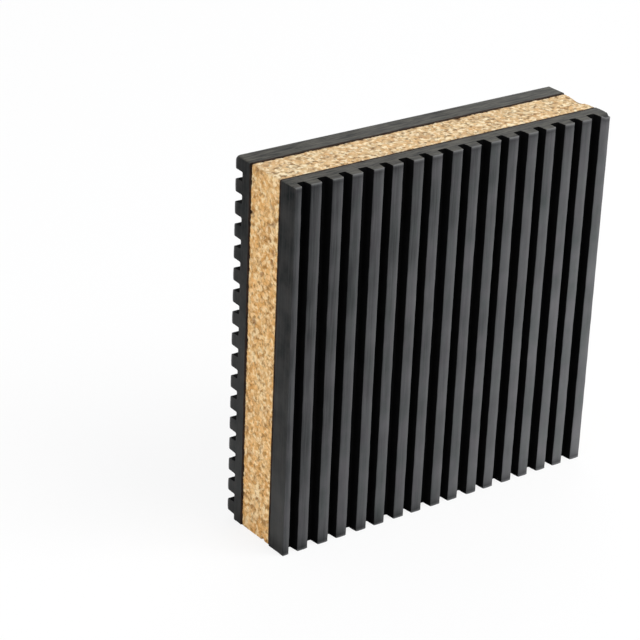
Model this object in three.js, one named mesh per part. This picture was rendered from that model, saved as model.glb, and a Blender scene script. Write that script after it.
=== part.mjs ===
// Speaker isolation pad: a cork core between two ribbed rubber sheets, bonded with contact adhesive
// and then cut to a square through all the layers.
// Millimetres, +Z up. The pad stands on a cut edge, with X along its width and Y through its thickness.
// The front sheet faces -Y and has upright ribs. The rear sheet faces +Y and has level ribs.
// The origin is the middle of the underside.

import * as THREE from "three";

// The square that the pad is cut to
const PAD_WIDTH = 101.6;
const PAD_HEIGHT = 101.6;

// Layers, from the middle outwards: cork, adhesive film, the rubber's web, its ribs
const CORK_THICKNESS = 12.1;
const FILM_THICKNESS = 0.3;
const WEB_THICKNESS = 3.4;
const RIB_HEIGHT = 2.95;

// Front sheet, from the left edge: the cut runs down the first rib, then narrow and wide grooves take turns
const FRONT_RIB_WIDTH = 3.2;
const FRONT_FIRST_RIB_LEFT = 2.0;
const FRONT_NARROW_GROOVE = 2.72;
const FRONT_WIDE_GROOVE = 3.28;
const FRONT_FLANK_DRAFT = 0.3;

// Rear sheet, from the top edge: a whole rib along the cut, then even grooves
const REAR_RIB_WIDTH = 3.38;
const REAR_GROOVE = 2.65;
const REAR_FLANK_DRAFT = 0.12;

// How far each moulded corner is rounded off, and into how many straight steps
const TIP_ROUND = 0.25;
const ROOT_ROUND = 0.35;
const ROUND_STEPS = 3;

// A profile point nearer to a cut than this belongs to the cut
const CUT_TOLERANCE = 0.01;

// Planes across Y. The rear ones are the front ones mirrored.
const CORK_FACE = CORK_THICKNESS / 2;
const SHEET_FACE = CORK_FACE + FILM_THICKNESS;

function rubberMaterial() {
  return new THREE.MeshStandardMaterial({ color: 0x4a4b4e, roughness: 0.72, metalness: 0 });
}

function corkMaterial() {
  return new THREE.MeshStandardMaterial({ color: 0xcfa777, roughness: 0.9, metalness: 0 });
}

function adhesiveMaterial() {
  return new THREE.MeshStandardMaterial({ color: 0x3d2919, roughness: 0.5, metalness: 0 });
}

// A point on the way from one corner to the next, at a set distance from the first
function stepTowards(from, to, distance) {
  return from.clone().add(to.clone().sub(from).setLength(distance));
}

// A line through the corners, with each one between the ends rounded off by its own reach
function roundedLine(corners) {
  const line = new THREE.Path();
  line.moveTo(corners[0].at.x, corners[0].at.y);
  for (let i = 1; i < corners.length - 1; i += 1) {
    const { at, round } = corners[i];
    const entry = stepTowards(at, corners[i - 1].at, round);
    const exit = stepTowards(at, corners[i + 1].at, round);
    line.lineTo(entry.x, entry.y);
    line.quadraticCurveTo(at.x, at.y, exit.x, exit.y);
  }
  const last = corners[corners.length - 1].at;
  line.lineTo(last.x, last.y);
  return line.getPoints(ROUND_STEPS);
}

// The four corners of one rib: x runs along the sheet's edge, y is the height above its bonded face
function ribCorners(start, end, draft) {
  const tip = WEB_THICKNESS + RIB_HEIGHT;
  return [
    { at: new THREE.Vector2(start - draft, WEB_THICKNESS), round: ROOT_ROUND },
    { at: new THREE.Vector2(start, tip), round: TIP_ROUND },
    { at: new THREE.Vector2(end, tip), round: TIP_ROUND },
    { at: new THREE.Vector2(end + draft, WEB_THICKNESS), round: ROOT_ROUND },
  ];
}

// The ribbed face of the stock that a sheet is cut from, from before one cut to past the other.
// firstRibLeft is how much of the first rib the cut leaves, and the grooves are taken in turn.
function stockProfile(length, ribWidth, firstRibLeft, grooves, draft) {
  const corners = [];
  let start = firstRibLeft - ribWidth;
  for (let count = 0; start < length; count += 1) {
    corners.push(...ribCorners(start, start + ribWidth, draft));
    start += ribWidth + grooves[count % grooves.length];
  }
  const runIn = new THREE.Vector2(corners[0].at.x - grooves[0], WEB_THICKNESS);
  const runOut = new THREE.Vector2(start, WEB_THICKNESS);
  return roundedLine([{ at: runIn }, ...corners, { at: runOut }]);
}

// The point where a cut across the stock meets its profile
function profileAt(profile, x) {
  const next = profile.findIndex((point) => point.x >= x);
  const before = profile[next - 1];
  const after = profile[next];
  const share = (x - before.x) / (after.x - before.x);
  return new THREE.Vector2(x, THREE.MathUtils.lerp(before.y, after.y, share));
}

// Section of a sheet between its two cuts: the bonded face is the straight side, at height 0
function sheetSection(profile, length) {
  const inside = profile.filter((point) => point.x > CUT_TOLERANCE && point.x < length - CUT_TOLERANCE);
  return [
    new THREE.Vector2(0, 0),
    profileAt(profile, 0),
    ...inside,
    profileAt(profile, length),
    new THREE.Vector2(length, 0),
  ];
}

function extruded(outline, depth) {
  return new THREE.ExtrudeGeometry(new THREE.Shape(outline), { depth, bevelEnabled: false });
}

// A flat layer between two planes across Y, cut off with the rest of the pad
function layerGeometry(nearY, farY) {
  const right = PAD_WIDTH / 2;
  const outline = [
    new THREE.Vector2(-right, nearY),
    new THREE.Vector2(right, nearY),
    new THREE.Vector2(right, farY),
    new THREE.Vector2(-right, farY),
  ];
  return extruded(outline, PAD_HEIGHT);
}

function corkCore() {
  const mesh = new THREE.Mesh(layerGeometry(-CORK_FACE, CORK_FACE), corkMaterial());
  mesh.name = "cork_core";
  return mesh;
}

function adhesiveFilm(name, nearY, farY) {
  const mesh = new THREE.Mesh(layerGeometry(nearY, farY), adhesiveMaterial());
  mesh.name = name;
  return mesh;
}

// Section seen from above, with the ribs towards -Y, drawn up to the full height
function frontSheet() {
  const grooves = [FRONT_NARROW_GROOVE, FRONT_WIDE_GROOVE];
  const profile = stockProfile(
    PAD_WIDTH, FRONT_RIB_WIDTH, FRONT_FIRST_RIB_LEFT, grooves, FRONT_FLANK_DRAFT,
  );
  const outline = sheetSection(profile, PAD_WIDTH).map(
    (point) => new THREE.Vector2(point.x - PAD_WIDTH / 2, -SHEET_FACE - point.y),
  );
  const mesh = new THREE.Mesh(extruded(outline, PAD_HEIGHT), rubberMaterial());
  mesh.name = "front_rubber_sheet";
  return mesh;
}

// Section seen from the side, with the ribs towards +Y, drawn along X over the full width
function rearSheet() {
  const profile = stockProfile(
    PAD_HEIGHT, REAR_RIB_WIDTH, REAR_RIB_WIDTH, [REAR_GROOVE], REAR_FLANK_DRAFT,
  );
  const outline = sheetSection(profile, PAD_HEIGHT).map(
    (point) => new THREE.Vector2(SHEET_FACE + point.y, PAD_HEIGHT - point.x),
  );
  const acrossThePad = new THREE.Matrix4().makeBasis(
    new THREE.Vector3(0, 1, 0), new THREE.Vector3(0, 0, 1), new THREE.Vector3(1, 0, 0),
  );
  const geometry = extruded(outline, PAD_WIDTH).applyMatrix4(acrossThePad);
  const mesh = new THREE.Mesh(geometry, rubberMaterial());
  mesh.name = "rear_rubber_sheet";
  mesh.position.x = -PAD_WIDTH / 2;
  return mesh;
}

const pad = new THREE.Group();
pad.add(frontSheet());
pad.add(adhesiveFilm("front_adhesive_film", -SHEET_FACE, -CORK_FACE));
pad.add(corkCore());
pad.add(adhesiveFilm("rear_adhesive_film", CORK_FACE, SHEET_FACE));
pad.add(rearSheet());

export default pad;
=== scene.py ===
"""Speaker isolation pad: pressed cork between two ribbed rubber sheets, standing on a cut edge."""
import math

import bpy
import numpy as np
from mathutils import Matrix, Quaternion, Vector


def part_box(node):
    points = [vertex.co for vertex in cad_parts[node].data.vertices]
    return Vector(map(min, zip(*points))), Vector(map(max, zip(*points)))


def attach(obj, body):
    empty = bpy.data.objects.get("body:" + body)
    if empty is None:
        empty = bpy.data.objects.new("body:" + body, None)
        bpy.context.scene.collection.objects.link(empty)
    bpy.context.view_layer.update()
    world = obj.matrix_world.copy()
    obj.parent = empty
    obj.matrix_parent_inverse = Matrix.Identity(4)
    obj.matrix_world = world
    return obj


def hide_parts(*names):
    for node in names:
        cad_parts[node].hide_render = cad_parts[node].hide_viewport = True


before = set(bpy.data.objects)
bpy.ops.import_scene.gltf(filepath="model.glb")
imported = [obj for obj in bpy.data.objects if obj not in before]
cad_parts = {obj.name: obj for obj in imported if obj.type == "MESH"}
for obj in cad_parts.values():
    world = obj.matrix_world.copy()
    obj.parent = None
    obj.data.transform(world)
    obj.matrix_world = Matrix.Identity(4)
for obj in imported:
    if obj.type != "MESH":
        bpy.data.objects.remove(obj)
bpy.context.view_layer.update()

MM = 0.001

# The square that the pad is cut to: the cork core's box has its width and height
CORK_LOW, CORK_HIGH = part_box("cork_core")
PAD_WIDTH = CORK_HIGH.x - CORK_LOW.x
PAD_HEIGHT = CORK_HIGH.z - CORK_LOW.z

# Section of the rubber stock
WEB = 3.4 * MM
RIB_HEIGHT = 2.95 * MM
TIP_ROUND = 0.28 * MM
ROOT_ROUND = 0.35 * MM
TIP_CROWN = 0.08 * MM

# Front sheet, from its left edge: narrow and wide grooves in turn
FRONT_RIB = 3.2 * MM
FRONT_FIRST_RIB_LEFT = 2.0 * MM
FRONT_GROOVES = (2.72 * MM, 3.28 * MM)
FRONT_DRAFT = 0.3 * MM

# Rear sheet, from its top edge
REAR_RIB = 3.38 * MM
REAR_GROOVES = (2.65 * MM,)
REAR_DRAFT = 0.12 * MM

# Wear: the front sheet's upper right corner is worn down, and the rear sheet's upper left corner is worn round
WORN_DOWN = 0.6 * MM
WORN_DOWN_WIDTH = 3.2 * MM
WORN_ROUND_BONDED = 0.45 * MM
WORN_ROUND_RIBBED = 1.3 * MM

# How far the rubber strays from its section: tips in height, rib edges, the adhesive strip's border, saw ridges
TIP_WANDER = 0.02 * MM
EDGE_WANDER = 0.03 * MM
STRIP_WANDER = 0.08 * MM
RIDGE_DEPTH = 0.025 * MM

# Painted light on the rubber near a cut: a painted rim highlight, a painted highlight along the tip's border,
# and a painted shadow band behind that
RIM_HIGHLIGHT_WIDTH = 0.5 * MM
END_HIGHLIGHT_WIDTH = 0.3 * MM
END_SHADE_PLACE = 0.95 * MM
END_SHADE_WIDTH = 0.45 * MM

# Mesh steps
RIB_STEP = 1.1 * MM
END_STEPS = np.array([0.0, 0.12, 0.3, 0.55, 0.9, 1.4]) * MM
STAIN_STEPS = np.array([0.0, 0.17, 0.34]) * MM
THROUGH_STEPS = np.array([0.08, 0.2, 0.35, 0.5, 0.65, 0.73, 0.78, 0.87, 0.94, 0.975, 1.0])
ROUND_STEPS = 4
CORK_STEP = 0.26 * MM
FILM_STEP = 0.5 * MM

# Cork granules: their sizes, how far they sink at most, how much farther their seams do, and how deep a fallen
# one leaves a pit. CRUMBLE is how far the long edges sink everywhere, and how much more they do in places.
COARSE_GRANULE = 1.5 * MM
FINE_GRANULE = 0.75 * MM
COARSE_SINK = 0.10 * MM
FINE_SINK = 0.07 * MM
COARSE_SEAM = 0.09 * MM
FINE_SEAM = 0.05 * MM
PIT_DEPTH = 0.45 * MM
CRUMBLE = (0.06 * MM, 0.16 * MM)
BITE_DEPTH = 0.85 * MM
CORK_CORNER = 0.45 * MM

# How far the edge of an adhesive film is drawn in, and how far it strays from there
FILM_SINK = 0.05 * MM
FILM_WANDER = 0.03 * MM

# The camera, as the photo was taken: 36 mm sensor, square frame
CAMERA_PLACE = Vector((-360.1, -436.2, 312.3)) * MM
CAMERA_AIM = Vector((-32.4, 0.0, 57.4)) * MM
CAMERA_ROLL = math.radians(2.37)
CAMERA_LENS = 133.2
CAMERA_SENSOR = 36.0

BACKDROP_WHITE = 1.0
FLOOR_SIZE = 6.0


# Random fields


def waves(points, lengths, seed):
    """A smooth random field about 0, seldom beyond -1.5 and 1.5: the sum of sines over the root of their number,
    each along its own random direction and with its own phase, at wavelengths from one length to the other."""
    rng = np.random.default_rng(seed)
    count = 14
    spans = np.geomspace(lengths[0], lengths[1], count)
    total = np.zeros(points.shape[0])
    for span in spans:
        direction = rng.normal(size=points.shape[1])
        direction /= np.linalg.norm(direction)
        reach = (points * direction).sum(axis=1)
        total += np.sin(reach * (2.0 * math.pi / span) + rng.uniform(0.0, 2.0 * math.pi))
    return total / math.sqrt(count)


def granules(s, t, period, size, seed):
    """Cells round one scattered point for each square of a grid of the given size, which repeats in s after
    the period. Gives how much farther the second nearest point is than the nearest, in sizes, and a number
    from 0 to 1 for each cell."""
    rng = np.random.default_rng(seed)
    columns = int(round(period / size))
    width = period / columns
    rows = int(math.ceil((t.max() - t.min()) / size)) + 4
    jitter = rng.uniform(0.08, 0.92, size=(columns, rows, 2))
    level = rng.uniform(size=(columns, rows))
    column = np.floor(s / width).astype(int)
    row = np.floor((t - t.min()) / size).astype(int) + 2
    near = np.full(s.shape, np.inf)
    second = np.full(s.shape, np.inf)
    tone = np.zeros(s.shape)
    for dc in (-1, 0, 1):
        for dr in (-1, 0, 1):
            c = (column + dc) % columns
            r = np.clip(row + dr, 0, rows - 1)
            ps = (column + dc + jitter[c, r, 0]) * width
            pt = (row + dr - 2 + jitter[c, r, 1]) * size + t.min()
            distance = np.hypot(s - ps, t - pt)
            closer = distance < near
            second = np.where(closer, near, np.minimum(second, distance))
            tone = np.where(closer, level[c, r], tone)
            near = np.where(closer, distance, near)
    return (second - near) / size, tone


# Meshes


def make_piece(name, points, quads, triangles, materials, material_of=None):
    """A mesh object at the origin from arrays of points, quads and triangles, that rides on the pad."""
    quads, triangles = turned_outwards(points, quads, triangles)
    mesh = bpy.data.meshes.new(name)
    loops = np.concatenate([quads.ravel(), triangles.ravel()])
    sizes = np.concatenate([np.full(len(quads), 4), np.full(len(triangles), 3)])
    mesh.vertices.add(len(points))
    mesh.vertices.foreach_set("co", points.astype(np.float32).ravel())
    mesh.loops.add(len(loops))
    mesh.loops.foreach_set("vertex_index", loops.astype(np.int32))
    mesh.polygons.add(len(sizes))
    mesh.polygons.foreach_set("loop_start", (np.cumsum(sizes) - sizes).astype(np.int32))
    mesh.polygons.foreach_set("use_smooth", np.ones(len(sizes), bool))
    for material in materials:
        mesh.materials.append(material)
    if material_of is not None:
        mesh.polygons.foreach_set("material_index", material_of.astype(np.int32))
    mesh.update(calc_edges=True)
    mesh.validate()
    piece = bpy.data.objects.new(name, mesh)
    bpy.context.scene.collection.objects.link(piece)
    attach(piece, "root")
    return piece


def set_attribute(piece, name, values):
    layer = piece.data.attributes.new(name, "FLOAT", "POINT")
    layer.data.foreach_set("value", values.astype(np.float32))


def turned_outwards(points, quads, triangles):
    """The same faces, turned round where the volume that they enclose comes out negative. The volume is a
    sixth of the sum of a . (b x c) over the triangles a, b, c."""
    halves = np.concatenate([quads[:, [0, 1, 2]], quads[:, [0, 2, 3]], triangles])
    a, b, c = (points[halves[:, corner]] for corner in range(3))
    if np.sum(a * np.cross(b, c)) < 0:
        return quads[:, ::-1], triangles[:, ::-1]
    return quads, triangles


def grid_quads(index):
    """The quads between the neighbours of a two-way array of point numbers."""
    return np.stack([index[:-1, :-1], index[1:, :-1], index[1:, 1:], index[:-1, 1:]], axis=-1).reshape(-1, 4)


# Ribbed rubber


def rib_profile(length, rib, first_left, grooves, draft):
    """The moulded face across the ribs: places along the edge, heights above the bonded face, and how far each
    point is across its own rib, from 0 to 1. A tip falls off from its middle by the crown times (2a - 1)^2.
    Its corners and roots are quadratic curves, and its flanks are straight and lean by the draft."""
    turn = np.linspace(0.0, 1.0, ROUND_STEPS + 1)
    bend = np.stack([(1 - turn) ** 2, 2 * turn * (1 - turn), turn ** 2], axis=1)

    def rounded(corner, before, after, reach):
        entry = corner + (before - corner) / np.linalg.norm(before - corner) * reach
        leave = corner + (after - corner) / np.linalg.norm(after - corner) * reach
        return bend @ np.stack([entry, corner, leave])

    top = WEB + RIB_HEIGHT
    share = np.linspace(TIP_ROUND / rib, 1.0 - TIP_ROUND / rib, 9)[1:-1]
    flank = np.linspace(0.2, 0.8, 4)[:, None]
    rows, across = [], []
    start = first_left - rib
    count = 0
    while start < length:
        end = start + rib
        next_start = end + grooves[count % len(grooves)]
        root_in, root_out = np.array([start - draft, WEB]), np.array([end + draft, WEB])
        tip_in, tip_out = np.array([start, top - TIP_CROWN]), np.array([end, top - TIP_CROWN])
        tip = np.stack([start + share * rib, top - TIP_CROWN * (2 * share - 1) ** 2], axis=1)
        line = np.concatenate([
            rounded(root_in, root_in - [1.0, 0.0], tip_in, ROOT_ROUND),
            root_in + (tip_in - root_in) * flank,
            rounded(tip_in, root_in, tip_out, TIP_ROUND),
            tip,
            rounded(tip_out, tip_in, root_out, TIP_ROUND),
            tip_out + (root_out - tip_out) * flank,
            rounded(root_out, tip_out, root_out + [1.0, 0.0], ROOT_ROUND),
            [[(end + next_start) / 2, WEB]],
        ])
        rows.append(line)
        across.append(np.clip((line[:, 0] - start) / rib, 0.0, 1.0))
        start = next_start
        count += 1
    line, across = np.concatenate(rows), np.concatenate(across)
    cuts = np.interp([0.0, length], line[:, 0], line[:, 1])
    cuts_across = np.interp([0.0, length], line[:, 0], across)
    kept = (line[:, 0] > 0.01 * MM) & (line[:, 0] < length - 0.01 * MM)
    inside = np.concatenate([line[kept], across[kept, None]], axis=1)
    return np.concatenate([[[0.0, cuts[0], cuts_across[0]]], inside, [[length, cuts[1], cuts_across[1]]]])


def tip_share(profile):
    """How far each profile point is up its rib, from 0 on the groove floor to 1 on the tip."""
    return np.clip((profile[:, 1] - WEB) / (RIB_HEIGHT - TIP_CROWN), 0.0, 1.0)


def ribbed_sheet(name, node, profile, length, place, torn, tip_material, seed):
    """The closed skin of a ribbed sheet: its profile carried along the ribs, both cut ends and both cut sides
    as grids between the profile and the bonded face, and the bonded face fanned from its middle.
    The tips sink and the rib edges stray by slow waves, and the cut faces sink by fine ridges across the
    thickness. Next to the bonded face they have a strip of adhesive with an uneven border. place turns
    (u across the ribs, v outwards, w along them) into the pad's frame, and torn is how far the far end of the
    ribs is worn down at each (u, v), which fades out over the last tenth of their length."""
    middle_steps = np.linspace(END_STEPS[-1], length - END_STEPS[-1], int(round(length / RIB_STEP)))
    along = np.concatenate([END_STEPS[:-1], middle_steps, length - END_STEPS[-2::-1]])
    strip = np.broadcast_to(STAIN_STEPS, (len(profile), len(STAIN_STEPS)))
    rest = STAIN_STEPS[-1] + (profile[:, 1, None] - STAIN_STEPS[-1]) * THROUGH_STEPS
    levels = np.concatenate([strip, rest], axis=1)
    count_u, count_v, count_w = len(profile), levels.shape[1], len(along)
    keep = np.zeros((count_u, count_v, count_w), bool)
    keep[:, -1, :] = True
    keep[0, :, :] = keep[-1, :, :] = True
    keep[:, :, 0] = keep[:, :, -1] = True
    number = np.full(keep.shape, -1)
    number[keep] = np.arange(keep.sum())
    i, j, k = np.nonzero(keep)
    u = profile[i, 0]
    v = levels[i, j]
    w = along[k]
    tip = tip_share(profile)
    height = tip[i] * (j == count_v - 1)

    # The moulded face: tips that wander a little, and edges that are softly uneven
    local = np.stack([u, v, w], axis=1)
    inner = np.minimum(np.minimum(u, profile[-1, 0] - u), np.minimum(w, length - w))
    fade = np.clip(inner / (0.6 * MM), 0.0, 1.0)
    swell = 1.0 + np.clip(waves(local, (4 * MM, 40 * MM), seed), -1.0, 1.0)
    v = v - height * fade * TIP_WANDER * swell
    u = u + height * fade * EDGE_WANDER * waves(local[:, [2, 0]], (3 * MM, 30 * MM), seed + 1)

    # The cut faces: the adhesive strip's border, fine ridges that run along the cut, and the worn end
    wander = np.clip(waves(local[:, [0, 2]], (1.2 * MM, 11 * MM), seed + 4), -1.5, 1.5)
    v = v + (j == len(STAIN_STEPS) - 1) * STRIP_WANDER * wander
    ridge = waves(v[:, None], (0.35 * MM, 2.2 * MM), seed + 2) + waves(local, (1.2 * MM, 12 * MM), seed + 3)
    bite = RIDGE_DEPTH * (1.5 + np.clip(ridge, -1.5, 1.5))
    w = w - torn(u, v) * np.clip((w / length - 0.9) / 0.1, 0.0, 1.0)
    u = u + np.where(i == 0, bite, 0.0) - np.where(i == count_u - 1, bite, 0.0)
    w = w + np.where(k == 0, bite, 0.0) - np.where(k == count_w - 1, bite, 0.0)

    points = place(u, v, w)
    base_ring = np.concatenate([
        number[:, 0, 0], number[-1, 0, 1:], number[-2::-1, 0, -1], number[0, 0, -2:0:-1],
    ])
    points = np.concatenate([points, [points[base_ring].mean(axis=0)]])
    fan = np.stack([np.roll(base_ring, -1), base_ring, np.full(len(base_ring), len(points) - 1)], axis=1)

    moulded_quads = grid_quads(number[:, -1, :])
    # Rib flanks and groove floors take the near-black groove material: painted shade
    on_tip = np.repeat((tip[:-1] + tip[1:]) / 2 > 0.93, count_w - 1)
    cut_quads = np.concatenate([
        grid_quads(number[0, :, :]),
        grid_quads(number[-1, :, ::-1]),
        grid_quads(number[:, :, 0]),
        grid_quads(number[::-1, :, -1]),
    ])
    quads = np.concatenate([moulded_quads, cut_quads])
    stained = np.where(np.arange(count_v - 1) < len(STAIN_STEPS) - 1, 3, 1)
    on_sides, on_ends = np.repeat(stained, count_w - 1), np.tile(stained, count_u - 1)
    material_of = np.concatenate([
        np.where(on_tip, 0, 2), on_sides, on_sides, on_ends, on_ends, np.ones(len(fan)),
    ])
    materials = [cached(build) for build in (tip_material, cut_rubber, shaded_groove_rubber, contact_adhesive)]
    piece = make_piece(name, points, quads, fan, materials, material_of)

    # Masks: across a rib, the painted rim highlight of a cut end along a moulded tip, the painted highlight on
    # the tip's own border at a cut and the painted shadow band behind that, the upper face, and the painted
    # sheen
    depth_below = profile[i, 1] - np.clip(v, 0.0, None)
    on_end = (k == 0) | (k == count_w - 1)
    rim_highlight = np.clip(1.0 - depth_below / RIM_HIGHLIGHT_WIDTH, 0.0, 1.0) * tip[i] ** 2 * on_end
    end_gap = np.minimum(along[k], length - along[k])
    end_highlight = np.exp(-(end_gap / END_HIGHLIGHT_WIDTH) ** 2) * height
    end_shade = np.exp(-((end_gap - END_SHADE_PLACE) / END_SHADE_WIDTH) ** 2) * height
    set_attribute(piece, "across_rib", np.append(profile[i, 2], 0.5))
    set_attribute(piece, "rim_highlight", np.append(rim_highlight, 0.0))
    set_attribute(piece, "end_highlight", np.append(end_highlight, 0.0))
    set_attribute(piece, "end_shade", np.append(end_shade, 0.0))
    set_attribute(piece, "upward", upper_face(points))
    set_attribute(piece, "painted_sheen", painted_sheen(points))
    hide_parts(node)
    return piece


def upper_face(points):
    """1 on the upper cut face and 0 a little below it."""
    return np.clip(1.0 - (PAD_HEIGHT - 0.15 * MM - points[:, 2]) / (0.2 * MM), 0.0, 1.0)


def painted_sheen(points):
    """How much painted sheen the rubber gets, from 0 to 1: more to the right and more downwards, in slow
    patches, and less again in the last few millimetres above the lower cut, which is painted shade."""
    right = points[:, 0] / PAD_WIDTH + 0.5
    down = 1.0 - points[:, 2] / PAD_HEIGHT
    even = 0.04 + 0.21 * down + right * (0.42 + 0.39 * down)
    # Painted shade at the lower ends of the ribs
    lower_end_shade = 0.3 * np.exp(-(points[:, 2] / (3.5 * MM)) ** 2)
    return np.clip(even - lower_end_shade + 0.08 * waves(points, (7 * MM, 60 * MM), 24), 0.0, 1.0)


def front_sheet():
    """The sheet with upright ribs, whose upper right corner is worn."""
    low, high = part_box("front_rubber_sheet")
    profile = rib_profile(PAD_WIDTH, FRONT_RIB, FRONT_FIRST_RIB_LEFT, FRONT_GROOVES, FRONT_DRAFT)

    def place(u, v, w):
        return np.stack([low.x + u, high.y - v, low.z + w], axis=1)

    def torn(u, v):
        near_corner = np.clip((u - PAD_WIDTH + WORN_DOWN_WIDTH) / (1.2 * MM), 0.0, 1.0)
        on_rib = np.clip((v - 4.8 * MM) / (0.2 * MM), 0.0, 1.0)
        return WORN_DOWN * near_corner * on_rib

    return ribbed_sheet("upright_rib_sheet", "front_rubber_sheet", profile, PAD_HEIGHT, place, torn,
                        upright_rib_tips, 21)


def rear_sheet():
    """The sheet with level ribs. Its upper left corner is worn round to a quarter circle, whose radius grows
    evenly from the bonded face to the ribbed one."""
    low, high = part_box("rear_rubber_sheet")
    profile = rib_profile(PAD_HEIGHT, REAR_RIB, REAR_RIB, REAR_GROOVES, REAR_DRAFT)

    def place(u, v, w):
        radius = WORN_ROUND_BONDED + (WORN_ROUND_RIBBED - WORN_ROUND_BONDED) * v / (WEB + RIB_HEIGHT)
        a, b = np.clip(radius - u, 0.0, None), np.clip(radius - w, 0.0, None)
        pull = 1.0 - radius / np.maximum(np.hypot(a, b), radius)
        return np.stack([low.x + w + b * pull, low.y + v, high.z - u - a * pull], axis=1)

    def torn(u, v):
        return np.zeros(u.shape)

    return ribbed_sheet("level_rib_sheet", "rear_rubber_sheet", profile, PAD_WIDTH, place, torn,
                        level_rib_tips, 31)


made_once = {}


def cached(build):
    """What the function makes: a material or a node group, made at its first use and then shared."""
    if build not in made_once:
        made_once[build] = build()
    return made_once[build]


# Shader helpers


class Nodes:
    """A node tree with short calls to add a node and link its sockets."""

    def __init__(self, tree):
        self.tree = tree

    def feed(self, socket, value):
        """Links another node's output to the socket, or sets the socket to a plain value."""
        if isinstance(value, bpy.types.NodeSocket):
            self.tree.links.new(value, socket)
        else:
            socket.default_value = value

    def add(self, kind, links=None, **settings):
        node = self.tree.nodes.new(kind)
        for key, value in settings.items():
            setattr(node, key, value)
        for socket, value in (links or {}).items():
            self.feed(node.inputs[socket], value)
        return node

    def maths(self, operation, first, second):
        return self.add("ShaderNodeMath", {0: first, 1: second}, operation=operation).outputs[0]

    def spread(self, value, low, high, out_low=0.0, out_high=1.0):
        links = {"Value": value, "From Min": low, "From Max": high, "To Min": out_low, "To Max": out_high}
        return self.add("ShaderNodeMapRange", links, clamp=True).outputs["Result"]

    def blend(self, share, first, second):
        return self.add("ShaderNodeMix", {0: share, 6: first, 7: second}, data_type="RGBA").outputs[2]

    def attribute(self, name):
        return self.add("ShaderNodeAttribute", attribute_name=name).outputs["Fac"]


def new_group(name, inputs, outputs):
    tree = bpy.data.node_groups.new(name, "ShaderNodeTree")
    for label, kind, value in inputs:
        socket = tree.interface.new_socket(label, in_out="INPUT", socket_type=kind)
        if value is not None:
            socket.default_value = value
    for label, kind in outputs:
        tree.interface.new_socket(label, in_out="OUTPUT", socket_type=kind)
    nodes = Nodes(tree)
    return tree, nodes, nodes.add("NodeGroupInput"), nodes.add("NodeGroupOutput")


def new_material(name, preview):
    material = bpy.data.materials.new(name)
    material.use_nodes = True
    material.diffuse_color = preview
    material.node_tree.nodes.clear()
    nodes = Nodes(material.node_tree)
    surface = nodes.add("ShaderNodeBsdfPrincipled")
    output = nodes.add("ShaderNodeOutputMaterial")
    material.node_tree.links.new(surface.outputs[0], output.inputs["Surface"])
    place = nodes.add("ShaderNodeTexCoord").outputs["Object"]
    return material, nodes, surface, place


def dress(nodes, surface, colour, roughness, specular, bump=None):
    """Gives a surface its colour, roughness and specular level, and its bump: strength, distance and height."""
    links = nodes.tree.links
    links.new(colour, surface.inputs["Base Color"])
    links.new(roughness, surface.inputs["Roughness"])
    surface.inputs["Specular IOR Level"].default_value = specular
    if bump is not None:
        sockets = dict(zip(("Strength", "Distance", "Height"), bump))
        links.new(nodes.add("ShaderNodeBump", sockets).outputs[0], surface.inputs["Normal"])


def mottle_group():
    """Cloudy patches: a tint that drifts between two colours, and a fine grain for roughness and bump."""
    tree, nodes, given, result = new_group(
        "cloudy_mottle",
        [
            ("Place", "NodeSocketVector", None),
            ("Dark", "NodeSocketColor", (0.05, 0.05, 0.05, 1.0)),
            ("Light", "NodeSocketColor", (0.1, 0.1, 0.1, 1.0)),
            ("Cloud Scale", "NodeSocketFloat", 200.0),
            ("Grain Scale", "NodeSocketFloat", 3000.0),
        ],
        [("Color", "NodeSocketColor"), ("Grain", "NodeSocketFloat")],
    )
    cloud = nodes.add("ShaderNodeTexNoise", {
        "Vector": given.outputs["Place"], "Scale": given.outputs["Cloud Scale"], "Detail": 5.0,
        "Roughness": 0.6,
    }).outputs["Fac"]
    grain = nodes.add("ShaderNodeTexNoise", {
        "Vector": given.outputs["Place"], "Scale": given.outputs["Grain Scale"], "Detail": 3.0,
    }).outputs["Fac"]
    share = nodes.spread(cloud, 0.3, 0.7)
    tint = nodes.blend(share, given.outputs["Dark"], given.outputs["Light"])
    nodes.tree.links.new(tint, result.inputs["Color"])
    nodes.tree.links.new(grain, result.inputs["Grain"])
    return tree


def dust_and_sheen_group():
    """Pale dust and painted sheen on the upper face, thicker in patches: it covers a colour by a share."""
    tree, nodes, given, result = new_group(
        "dust_and_painted_sheen",
        [
            ("Place", "NodeSocketVector", None),
            ("Under", "NodeSocketColor", (0.05, 0.05, 0.05, 1.0)),
            ("Dust And Sheen", "NodeSocketColor", (0.5, 0.5, 0.5, 1.0)),
            ("Upward", "NodeSocketFloat", 0.0),
            ("Share", "NodeSocketFloat", 0.3),
            ("Patchiness", "NodeSocketFloat", 1.0),
        ],
        [("Color", "NodeSocketColor")],
    )
    patches = nodes.add("ShaderNodeTexNoise", {
        "Vector": given.outputs["Place"], "Scale": 420.0, "Detail": 6.0, "Roughness": 0.75,
    }).outputs["Fac"]
    cover = nodes.maths("MULTIPLY", given.outputs["Upward"], given.outputs["Share"])
    uneven = nodes.spread(patches, 0.40, 0.60, -0.8, 0.8)
    uneven = nodes.maths("MULTIPLY", given.outputs["Patchiness"], uneven)
    cover = nodes.maths("MULTIPLY", cover, nodes.maths("ADD", uneven, 1.0))
    covered = nodes.blend(cover, given.outputs["Under"], given.outputs["Dust And Sheen"])
    nodes.tree.links.new(covered, result.inputs["Color"])
    return tree


def use_group(nodes, build, links):
    return nodes.add("ShaderNodeGroup", links, node_tree=cached(build))


def upright_rib_tips():
    return worn_rib_tips("upright_rib_tips", (2200.0, 2200.0, 90.0))


def level_rib_tips():
    return worn_rib_tips("level_rib_tips", (90.0, 2200.0, 2200.0))


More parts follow.
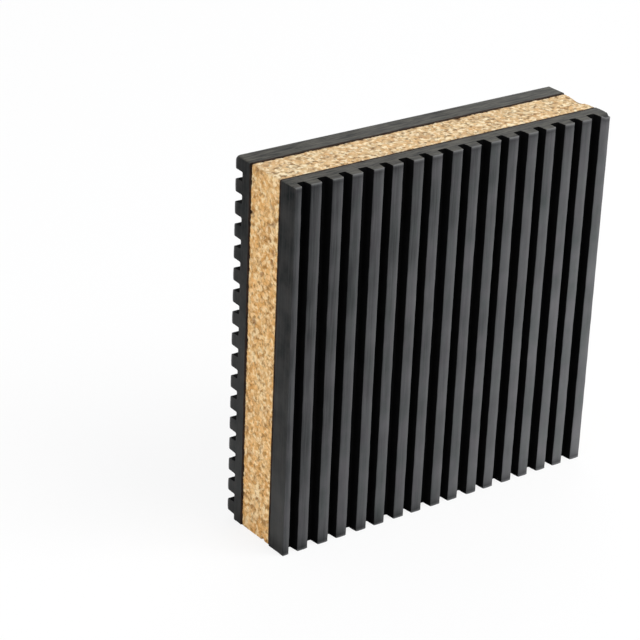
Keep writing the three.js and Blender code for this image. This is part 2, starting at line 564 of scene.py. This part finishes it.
def worn_rib_tips(name, streaks):
    """Rib tips: cool black that turns grey with the painted sheen, with faint streaks of the given scale along
    the rib, a painted highlight towards one side of each rib and at its very ends, and a painted shadow band
    behind each end."""
    material, nodes, surface, place = new_material(name, (0.09, 0.09, 0.1, 1.0))
    cool = use_group(nodes, mottle_group, {
        "Place": place, "Dark": (0.007, 0.0095, 0.0095, 1.0), "Light": (0.019, 0.018, 0.020, 1.0),
        "Cloud Scale": 140.0, "Grain Scale": 2600.0,
    })
    # A lighter copy of the tip colour, for the painted sheen
    sheen_lit = use_group(nodes, mottle_group, {
        "Place": place, "Dark": (0.091, 0.101, 0.099, 1.0), "Light": (0.130, 0.125, 0.133, 1.0),
        "Cloud Scale": 140.0, "Grain Scale": 2600.0,
    })
    colour = nodes.blend(nodes.attribute("painted_sheen"), cool.outputs["Color"], sheen_lit.outputs["Color"])
    drawn = nodes.add("ShaderNodeMapping", {"Vector": place, "Scale": streaks}).outputs[0]
    streak = nodes.add("ShaderNodeTexNoise", {"Vector": drawn, "Scale": 1.0, "Detail": 3.0}).outputs["Fac"]
    colour = nodes.blend(nodes.spread(streak, 0.35, 0.7, 0.0, 0.22), colour, (0.125, 0.125, 0.128, 1.0))
    # Painted highlight on one side of each rib tip
    side = nodes.spread(nodes.attribute("across_rib"), 0.55, 0.85, 0.0, 0.22)
    colour = nodes.blend(side, colour, (0.150, 0.150, 0.155, 1.0))
    # Painted shadow band behind each rib end, then a painted highlight on the tip's border at the cut
    band = nodes.maths("MULTIPLY", nodes.attribute("end_shade"), 0.5)
    colour = nodes.blend(band, colour, (0.012, 0.012, 0.013, 1.0))
    border = nodes.maths("MULTIPLY", nodes.attribute("end_highlight"), 0.6)
    colour = nodes.blend(border, colour, (0.190, 0.192, 0.192, 1.0))
    roughness = nodes.spread(cool.outputs["Grain"], 0.3, 0.7, 0.55, 0.72)
    dress(nodes, surface, colour, roughness, 0.12, (0.3, 0.05 * MM, streak))
    return material


def shaded_groove_rubber():
    """Groove flanks and floors: near-black rubber, which is painted shade in the grooves."""
    material, nodes, surface, place = new_material("shaded_groove_rubber", (0.02, 0.02, 0.02, 1.0))
    deep = use_group(nodes, mottle_group, {
        "Place": place, "Dark": (0.0018, 0.0018, 0.002, 1.0), "Light": (0.0040, 0.0040, 0.0044, 1.0),
        "Cloud Scale": 220.0, "Grain Scale": 2600.0,
    })
    dress(nodes, surface, deep.outputs["Color"], nodes.spread(deep.outputs["Grain"], 0.3, 0.7, 0.85, 1.0), 0.04)
    return material


def cut_rubber():
    """Cut rubber: matte, with fine streaks along the cut, greyer with the painted sheen and further down, which
    is painted light, with a painted highlight on the rim where a cut end meets a rib tip, and dust with painted
    sheen on the upper face."""
    material, nodes, surface, place = new_material("cut_rubber", (0.05, 0.05, 0.05, 1.0))
    face = use_group(nodes, mottle_group, {
        "Place": place, "Dark": (0.002, 0.004, 0.0045, 1.0), "Light": (0.027, 0.025, 0.024, 1.0),
        "Cloud Scale": 240.0, "Grain Scale": 3500.0,
    })
    drawn = nodes.add("ShaderNodeMapping", {"Vector": place, "Scale": (70.0, 2100.0, 70.0)}).outputs[0]
    streak = nodes.add("ShaderNodeTexNoise", {"Vector": drawn, "Scale": 1.0, "Detail": 4.0}).outputs["Fac"]
    drawn_share = nodes.spread(streak, 0.4, 0.65, 0.0, 0.45)
    colour = nodes.blend(drawn_share, face.outputs["Color"], (0.042, 0.043, 0.043, 1.0))
    # Painted light: the cut faces go greyer with the painted sheen and further down
    up = nodes.add("ShaderNodeSeparateXYZ", {0: place}).outputs["Z"]
    grey = nodes.spread(nodes.attribute("painted_sheen"), 0.05, 1.0, 0.0, 0.85)
    grey = nodes.maths("ADD", grey, nodes.spread(up, 96 * MM, 20 * MM, 0.0, 0.12))
    colour = nodes.blend(grey, colour, (0.104, 0.105, 0.103, 1.0))
    # Painted highlight on the rim where a cut end meets a rib tip
    rim_highlight = nodes.maths("MULTIPLY", nodes.attribute("rim_highlight"), 0.8)
    colour = nodes.blend(rim_highlight, colour, (0.175, 0.176, 0.178, 1.0))
    # Dust and painted sheen on the upper cut face
    dust_and_sheen_place = nodes.add("ShaderNodeMapping", {"Vector": place, "Scale": (0.35, 3.0, 0.35)}).outputs[0]
    dust_and_sheen = use_group(nodes, dust_and_sheen_group, {
        "Place": dust_and_sheen_place, "Under": colour, "Dust And Sheen": (0.200, 0.190, 0.158, 1.0),
        "Upward": nodes.attribute("upward"), "Share": 0.20, "Patchiness": 1.2,
    })
    roughness = nodes.spread(streak, 0.3, 0.7, 0.6, 0.8)
    dress(nodes, surface, dust_and_sheen.outputs["Color"], roughness, 0.08, (0.5, 0.12 * MM, streak))
    return material


def pressed_cork():
    """Pressed cork granules: cells in two sizes from brown over tan to cream, patches that drift to orange,
    dust with painted sheen on the upper face, brown seams, dark specks, cream flecks, and painted brown shade
    in the deepest places. The specks and flecks on the upper face have colours of their own: painted light and
    shade of that face. Both bonded faces have a glue stain."""
    material, nodes, surface, place = new_material("pressed_cork", (0.62, 0.42, 0.22, 1.0))
    warp = nodes.add("ShaderNodeTexNoise", {"Vector": place, "Scale": 1400.0, "Detail": 2.0}).outputs["Color"]
    bent = nodes.add("ShaderNodeVectorMath", {0: warp, 1: (-0.5, -0.5, -0.5)}, operation="ADD").outputs[0]
    bent = nodes.add("ShaderNodeVectorMath", {0: bent, "Scale": 0.6 * MM}, operation="SCALE").outputs[0]
    bent = nodes.add("ShaderNodeVectorMath", {0: place, 1: bent}, operation="ADD").outputs[0]
    cells = nodes.add("ShaderNodeTexVoronoi", {"Vector": bent, "Scale": 620.0, "Randomness": 1.0})
    crumbs = nodes.add("ShaderNodeTexVoronoi", {"Vector": bent, "Scale": 1000.0, "Randomness": 1.0})
    seams = nodes.add("ShaderNodeTexVoronoi", {"Vector": bent, "Scale": 620.0}, feature="DISTANCE_TO_EDGE")
    tone = nodes.add("ShaderNodeSeparateColor", {0: cells.outputs["Color"]})
    fleck = nodes.add("ShaderNodeSeparateColor", {0: crumbs.outputs["Color"]})
    ramp = nodes.add("ShaderNodeValToRGB", {"Fac": tone.outputs[0]})
    fill_ramp(ramp, (
        (0.0, (0.40, 0.20, 0.065, 1.0)),
        (0.25, (0.66, 0.37, 0.135, 1.0)),
        (0.6, (0.82, 0.53, 0.23, 1.0)),
        (0.85, (0.94, 0.69, 0.37, 1.0)),
        (1.0, (1.0, 0.84, 0.55, 1.0)),
    ))
    crumb_ramp = nodes.add("ShaderNodeValToRGB", {"Fac": fleck.outputs[1]})
    fill_ramp(crumb_ramp, (
        (0.0, (0.22, 0.10, 0.035, 1.0)),
        (0.10, (0.48, 0.25, 0.09, 1.0)),
        (0.3, (0.76, 0.47, 0.20, 1.0)),
        (0.75, (0.88, 0.61, 0.31, 1.0)),
        (1.0, (1.0, 0.86, 0.58, 1.0)),
    ))
    colour = nodes.blend(0.45, ramp.outputs[0], crumb_ramp.outputs[0])
    drift = nodes.add("ShaderNodeTexNoise", {"Vector": place, "Scale": 190.0, "Detail": 2.0}).outputs["Fac"]
    colour = nodes.blend(nodes.spread(drift, 0.40, 0.65, 0.10, 0.45), colour, (0.88, 0.42, 0.105, 1.0))
    upward = nodes.attribute("upward")
    # Dust and painted sheen on the upper face
    dust_and_sheen = use_group(nodes, dust_and_sheen_group, {
        "Place": place, "Under": colour, "Dust And Sheen": (0.45, 0.455, 0.36, 1.0), "Upward": upward,
        "Share": 0.36, "Patchiness": 0.3,
    })
    seam = nodes.spread(seams.outputs["Distance"], 0.0, 0.13, 0.4, 0.0)
    colour = nodes.blend(seam, dust_and_sheen.outputs["Color"], (0.42, 0.21, 0.065, 1.0))
    spots = nodes.add("ShaderNodeTexNoise", {"Vector": bent, "Scale": 800.0, "Detail": 1.5}).outputs["Fac"]
    # Painted light and shade: the upper face gets darker brown specks
    brown = nodes.blend(upward, (0.29, 0.14, 0.038, 1.0), (0.15, 0.085, 0.035, 1.0))
    colour = nodes.blend(nodes.spread(spots, 0.53, 0.66, 0.0, 0.72), colour, brown)
    shine = nodes.add("ShaderNodeMapping", {"Vector": bent, "Location": (0.31, 0.17, 0.23)}).outputs[0]
    shine = nodes.add("ShaderNodeTexNoise", {"Vector": shine, "Scale": 850.0, "Detail": 1.5}).outputs["Fac"]
    # Painted light: the upper face gets paler cream flecks
    cream = nodes.blend(upward, (1.0, 0.80, 0.48, 1.0), (1.0, 0.88, 0.62, 1.0))
    colour = nodes.blend(nodes.spread(shine, 0.52, 0.66, 0.0, 0.68), colour, cream)
    # Painted shade: the deepest places of the cut edge go dark brown
    depth_shade = nodes.attribute("depth_shade")
    colour = nodes.blend(nodes.spread(depth_shade, 0.5, 1.0, 0.0, 0.5), colour, (0.20, 0.10, 0.045, 1.0))
    stain = nodes.maths("MULTIPLY", nodes.attribute("glue_stain"), nodes.spread(spots, 0.3, 0.6, 1.0, 0.5))
    colour = nodes.blend(stain, colour, (0.02, 0.010, 0.005, 1.0))
    roughness = nodes.spread(fleck.outputs[0], 0.0, 1.0, 0.8, 0.95)
    dip = nodes.maths("MULTIPLY", crumbs.outputs["Distance"], -0.3)
    height = nodes.maths("ADD", seams.outputs["Distance"], dip)
    dress(nodes, surface, colour, roughness, 0.06, (0.5, 0.3 * MM, height))
    return material


def fill_ramp(ramp, stops):
    elements = ramp.color_ramp.elements
    while len(elements) < len(stops):
        elements.new(0.5)
    for element, (position, colour) in zip(elements, stops):
        element.position = position
        element.color = colour


def contact_adhesive():
    """Dried contact adhesive: dark brown, nearly black, with lighter runs."""
    material, nodes, surface, place = new_material("contact_adhesive", (0.05, 0.03, 0.02, 1.0))
    coat = use_group(nodes, mottle_group, {
        "Place": place, "Dark": (0.006, 0.003, 0.002, 1.0), "Light": (0.040, 0.022, 0.014, 1.0),
        "Cloud Scale": 500.0, "Grain Scale": 3000.0,
    })
    grain = coat.outputs["Grain"]
    roughness = nodes.spread(grain, 0.3, 0.7, 0.6, 0.8)
    dress(nodes, surface, coat.outputs["Color"], roughness, 0.06, (0.4, 0.1 * MM, grain))
    return material


# Cork and adhesive


def round_the_edge(step, corner):
    """Places round a rounded rectangle of the pad's width and height: distance along it, x, z, and the
    outward direction there. Straight sides between quarter circles, all stepped evenly."""
    half = PAD_WIDTH / 2 - corner
    low, high = corner, PAD_HEIGHT - corner
    sides = []
    centres = ((half, low, -90), (half, high, 0), (-half, high, 90), (-half, low, 180))
    for n, (cx, cz, turn) in enumerate(centres):
        count = max(3, int(math.ceil(corner * math.pi / 2 / step)) + 1)
        angle = np.radians(turn + np.linspace(0.0, 90.0, count))
        out = np.stack([np.cos(angle), np.sin(angle)], 1)
        arc = np.concatenate([np.array([cx, cz]) + corner * out, out], 1)
        sides.append(arc)
        nx, nz, _ = centres[(n + 1) % 4]
        direction = arc[-1, 2:]
        start, end = arc[-1, :2], np.array([nx, nz]) + corner * direction
        count = int(round(np.linalg.norm(end - start) / step))
        share = np.linspace(0.0, 1.0, count + 1)[1:-1, None]
        run = start + (end - start) * share
        sides.append(np.concatenate([run, np.repeat(direction[None], len(run), 0)], 1))
    ring = np.concatenate(sides)
    gaps = np.linalg.norm(np.roll(ring[:, :2], -1, 0) - ring[:, :2], axis=1)
    along = np.concatenate([[0.0], np.cumsum(gaps)[:-1]])
    return along, ring[:, 0], ring[:, 1], ring[:, 2], ring[:, 3], gaps.sum()


def layer_skin(ring_x, ring_z, across, depth, out_x, out_z):
    """The closed skin of a flat layer: a band round its cut edge, sunk inwards by the depth, and a flat face
    on either side fanned from its middle."""
    count_s, count_t = depth.shape
    x = ring_x[:, None] - out_x[:, None] * depth
    z = ring_z[:, None] - out_z[:, None] * depth
    y = np.broadcast_to(across[None, :], depth.shape)
    points = np.stack([x, y, z], axis=-1).reshape(-1, 3)
    number = np.arange(count_s * count_t).reshape(count_s, count_t)
    closed = np.concatenate([number, number[:1]])
    quads = grid_quads(closed)[:, ::-1]
    middles = np.array([[0.0, across[0], PAD_HEIGHT / 2], [0.0, across[-1], PAD_HEIGHT / 2]])
    first, last = closed[:, 0], closed[:, -1]
    near = np.stack([first[:-1], first[1:], np.full(count_s, len(points))], axis=1)
    far = np.stack([last[1:], last[:-1], np.full(count_s, len(points) + 1)], axis=1)
    return np.concatenate([points, middles]), quads, np.concatenate([near, far])


def cork_core():
    """The cork slab. Round its cut edge the granules stand at their own levels: each cell of a coarse and a
    fine scatter sinks by its own amount, and deeper along the seams between cells."""
    near_y, far_y = CORK_LOW.y, CORK_HIGH.y
    along, x, z, out_x, out_z, period = round_the_edge(CORK_STEP, CORK_CORNER)
    across = np.linspace(near_y, far_y, int(round((far_y - near_y) / CORK_STEP)) + 1)
    s, t = np.meshgrid(along, across, indexing="ij")
    coarse_seam, coarse_level = granules(s, t, period, COARSE_GRANULE, 11)
    fine_seam, fine_level = granules(s, t, period, FINE_GRANULE, 12)
    depth = COARSE_SINK * coarse_level ** 2 + FINE_SINK * fine_level
    depth += COARSE_SEAM * np.clip(1 - coarse_seam / 0.22, 0, 1)
    depth += FINE_SEAM * np.clip(1 - fine_seam / 0.25, 0, 1)
    # One coarse granule in forty has fallen out
    depth += PIT_DEPTH * (coarse_level > 0.975) * np.clip(coarse_seam / 0.3, 0, 1)
    # The two long edges crumble a little, more at some places than at others
    bonded = np.minimum(t - near_y, far_y - t)
    rim = np.clip(1 - bonded / (0.7 * MM), 0, 1)
    drift = 0.5 + 0.5 * waves(np.stack([s.ravel(), 0.3 * t.ravel()], 1), (2 * MM, 18 * MM), 13).reshape(s.shape)
    depth += rim * (CRUMBLE[0] + CRUMBLE[1] * np.clip(drift, 0, 1) * fine_level)
    # A bite is missing from the right end of the upper edge
    edge_gap = np.hypot(PAD_WIDTH / 2 - x, PAD_HEIGHT - z)[:, None]
    bite = np.where(t > -0.6 * MM, (t + 0.6 * MM) / (2.8 * MM), (t + 0.6 * MM) / (1.2 * MM))
    depth += BITE_DEPTH * np.exp(-(edge_gap / (1.6 * MM)) ** 2) * np.exp(-bite ** 2)
    points, quads, fans = layer_skin(x, z, across, depth, out_x, out_z)
    piece = make_piece("cork_slab", points, quads, fans, [cached(pressed_cork)])
    upward = np.repeat(np.clip(out_z, 0.0, 1.0), len(across))
    # Mask for the painted shade: how deep the cut edge sinks
    set_attribute(piece, "depth_shade", np.append(np.clip(depth.ravel() / (0.42 * MM), 0, 1), [0.0, 0.0]))
    set_attribute(piece, "upward", np.append(upward, [0.0, 0.0]))
    set_attribute(piece, "glue_stain", np.append(np.clip(1.2 - bonded.ravel() / (0.25 * MM), 0, 1), [1.0, 1.0]))
    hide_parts("cork_core")
    return piece


def adhesive_film(name, node, seed):
    """A film of adhesive with an uneven edge, drawn in from the cut by slow and quick waves."""
    low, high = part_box(node)
    along, x, z, out_x, out_z, period = round_the_edge(FILM_STEP, CORK_CORNER)
    across = np.linspace(low.y, high.y, 4)
    s, t = np.meshgrid(along, across, indexing="ij")
    turn = s.ravel() / period * 2 * math.pi
    circle = np.stack([np.cos(turn), np.sin(turn), t.ravel() / period], 1) * period / (2 * math.pi)
    swell = waves(circle, (1.5 * MM, 14 * MM), seed).reshape(s.shape)
    depth = FILM_SINK + FILM_WANDER * np.clip(swell, -1.5, 1.5)
    points, quads, fans = layer_skin(x, z, across, depth, out_x, out_z)
    piece = make_piece(name, points, quads, fans, [cached(contact_adhesive)])
    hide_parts(node)
    return piece


# Stage


def studio():
    """A plain studio: soft light from all round, a white backdrop, and soft lamps."""
    world = bpy.data.worlds.new("studio")
    bpy.context.scene.world = world
    world.use_nodes = True
    world.node_tree.nodes.clear()
    nodes = Nodes(world.node_tree)
    seen = nodes.add("ShaderNodeBackground", {"Color": (1.0, 1.0, 1.0, 1.0), "Strength": BACKDROP_WHITE})
    light = nodes.add("ShaderNodeBackground", {"Color": (0.97, 0.98, 1.0, 1.0), "Strength": 0.5})
    path = nodes.add("ShaderNodeLightPath")
    rays = nodes.maths("MAXIMUM", path.outputs["Is Camera Ray"], path.outputs["Is Glossy Ray"])
    rays = nodes.maths("MAXIMUM", rays, path.outputs["Is Transmission Ray"])
    mix = nodes.add("ShaderNodeMixShader", {0: rays, 1: light.outputs[0], 2: seen.outputs[0]})
    nodes.add("ShaderNodeOutputWorld", {"Surface": mix.outputs[0]})
    lamp("key", (0.35, -0.6, 1.0), 0.7, 8.0)
    lamp("left_fill", (-0.9, -0.2, 0.4), 0.7, 2.2)
    lamp("right_front", (0.42, -0.40, 0.16), 0.25, 1.1)
    lamp("high_rear", (0.7, 0.9, 0.8), 0.8, 4.0)
    floor()


def lamp(name, place, size, power):
    light = bpy.data.lights.new(name, "AREA")
    light.shape = "SQUARE"
    light.size = size
    light.energy = power
    holder = bpy.data.objects.new(name, light)
    holder.location = place
    aim = Vector((0.0, 0.0, PAD_HEIGHT / 2)) - holder.location
    holder.rotation_euler = aim.to_track_quat("-Z", "Y").to_euler()
    bpy.context.scene.collection.objects.link(holder)


def floor():
    half = FLOOR_SIZE / 2
    mesh = bpy.data.meshes.new("floor")
    corners = [(-half, -half, 0), (half, -half, 0), (half, half, 0), (-half, half, 0)]
    mesh.from_pydata(corners, [], [(0, 1, 2, 3)])
    plane = bpy.data.objects.new("floor", mesh)
    bpy.context.scene.collection.objects.link(plane)
    material, nodes, surface, _ = new_material("floor_white", (0.9, 0.9, 0.9, 1.0))
    surface.inputs["Base Color"].default_value = (0.92, 0.92, 0.92, 1.0)
    surface.inputs["Roughness"].default_value = 0.9
    surface.inputs["Specular IOR Level"].default_value = 0.1
    white = nodes.add("ShaderNodeEmission", {"Color": (1.0, 1.0, 1.0, 1.0), "Strength": BACKDROP_WHITE})
    path = nodes.add("ShaderNodeLightPath")
    share = nodes.maths("MULTIPLY", path.outputs["Is Camera Ray"], 0.85)
    mix = nodes.add("ShaderNodeMixShader", {0: share, 1: surface.outputs[0], 2: white.outputs[0]})
    output = next(node for node in material.node_tree.nodes if node.type == "OUTPUT_MATERIAL")
    material.node_tree.links.new(mix.outputs[0], output.inputs["Surface"])
    mesh.materials.append(material)


def camera():
    data = bpy.data.cameras.new("camera")
    data.lens = CAMERA_LENS
    data.sensor_width = CAMERA_SENSOR
    holder = bpy.data.objects.new("camera", data)
    holder.location = CAMERA_PLACE
    aim = (CAMERA_AIM - CAMERA_PLACE).to_track_quat("-Z", "Y")
    holder.rotation_mode = "QUATERNION"
    holder.rotation_quaternion = aim @ Quaternion((0.0, 0.0, 1.0), CAMERA_ROLL)
    bpy.context.scene.collection.objects.link(holder)
    bpy.context.scene.camera = holder


bpy.context.scene.view_settings.view_transform = "Standard"
camera()
studio()
front_sheet()
rear_sheet()
cork_core()
adhesive_film("front_adhesive_line", "front_adhesive_film", 41)
adhesive_film("rear_adhesive_line", "rear_adhesive_film", 42)

bpy.context.view_layer.update()
